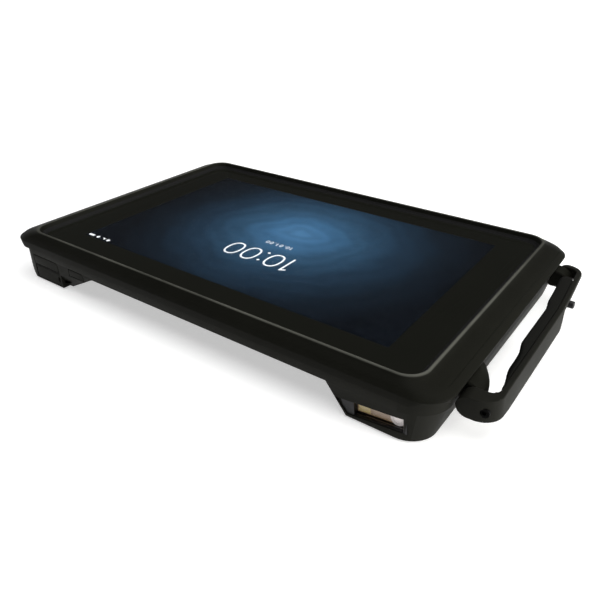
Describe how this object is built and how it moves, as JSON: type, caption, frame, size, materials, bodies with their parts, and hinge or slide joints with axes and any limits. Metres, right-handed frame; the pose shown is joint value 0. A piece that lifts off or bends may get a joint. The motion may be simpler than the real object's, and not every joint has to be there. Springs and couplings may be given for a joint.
{
  "type": "rugged tablet data collector",
  "caption": "Slab data collector with a touch screen in a raised bumper frame, a barcode scanner in a corner ridge and a swing handle on one short side.",
  "frame": {"origin": "middle of the whole object's box, on the plane of the rubber feet that it rests on", "axes": "+X along the long side towards the handle, +Y away from the side with the keys and the scan window, +Z out of the screen"},
  "size_m": [0.2568, 0.1536, 0.0253],
  "materials": {
    "frame_plastic": "fine moulded texture, near black",
    "housing_plastic": "fine moulded texture, dark olive grey",
    "grip_rubber": "soft overmould",
    "seal_rubber": "black elastomer",
    "foot_rubber": "black elastomer",
    "cover_glass": "polished, chemically strengthened",
    "scan_glass": "polished, dark tint",
    "camera_glass": "polished",
    "bezel_ink": "black printed film",
    "display": "lit display",
    "bare_metal": "brushed",
    "chassis_metal": "die cast, satin",
    "pin_metal": "turned",
    "screw_metal": "black oxide",
    "board": "solder mask",
    "contact_gold": "gold plated",
    "insert_brass": "turned",
    "cell_wrap": "shrink wrap",
    "engine_body": "dark brown moulding",
    "lens_glass": "polished lens",
    "led_lens": "yellow phosphor",
    "flash_lens": "pale yellow phosphor",
    "black_module": "black moulding"
  },
  "bodies": {
    "tablet": {"bumper_frame": "frame_plastic", "rear_housing": "housing_plastic", "glass_gasket": "seal_rubber", "cover_glass": "cover_glass", "bezel_film": "bezel_ink", "display_panel": "display", "display_tray": "bare_metal", "mid_chassis": "chassis_metal", "main_board": "board", "processor_shield": "bare_metal", "heat_spreader": "cell_wrap", "main_battery": "cell_wrap", "battery_pack": "cell_wrap", "battery_contacts": "contact_gold", "door_pin": "pin_metal", "door_seal": "seal_rubber", "key_membrane": "seal_rubber", "key_switch_board": "board", "scan_bezel": "black_module", "scan_window": "scan_glass", "scan_engine": "engine_body", "scan_lens": "lens_glass", "aimer_led": "led_lens", "scan_board": "board", "front_camera": "black_module", "light_sensor": "black_module", "rear_camera": "black_module", "camera_window": "camera_glass", "flash_led": "flash_lens", "speakers": "black_module", "vibration_motor": "bare_metal", "antennas": "contact_gold", "dock_connector": "black_module", "dock_contacts": "contact_gold", "hinge_pins": "pin_metal", "hinge_washers": "black_module", "case_screws": "screw_metal", "rubber_feet": "foot_rubber", "mount_inserts": "insert_brass"},
    "handle": {"handle_frame": "housing_plastic", "handle_grip": "grip_rubber", "grip_screw": "screw_metal", "release_spring": "pin_metal"},
    "release_button": {"release_knob": "black_module"},
    "battery_hatch": {"battery_door": "housing_plastic"},
    "power_button": {"power_key": "housing_plastic"},
    "program_button": {"program_key": "housing_plastic"}
  },
  "joints": [
    {"name": "handle_swing", "type": "hinge", "parent": "tablet", "child": "handle", "pos_m": [0.11705, 0, 0.0145], "axis": [0, -1, 0], "range_deg": [-90, 60]},
    {"name": "release_press", "type": "slide", "parent": "handle", "child": "release_button", "axis": [-1, 0, 0], "range_m": [0, 0.001], "stiffness_N_per_m": 600, "springref_m": -0.001},
    {"name": "battery_door_swing", "type": "hinge", "parent": "tablet", "child": "battery_hatch", "pos_m": [-0.11145, -0.0753, 0.005], "axis": [0, 0, -1], "range_deg": [0, 95]},
    {"name": "power_press", "type": "slide", "parent": "tablet", "child": "power_button", "axis": [0, 1, 0], "range_m": [0, 0.0006], "stiffness_N_per_m": 900, "springref_m": -0.0008},
    {"name": "program_press", "type": "slide", "parent": "tablet", "child": "program_button", "axis": [0, 1, 0], "range_m": [0, 0.0006], "stiffness_N_per_m": 900, "springref_m": -0.0008}
  ]
}
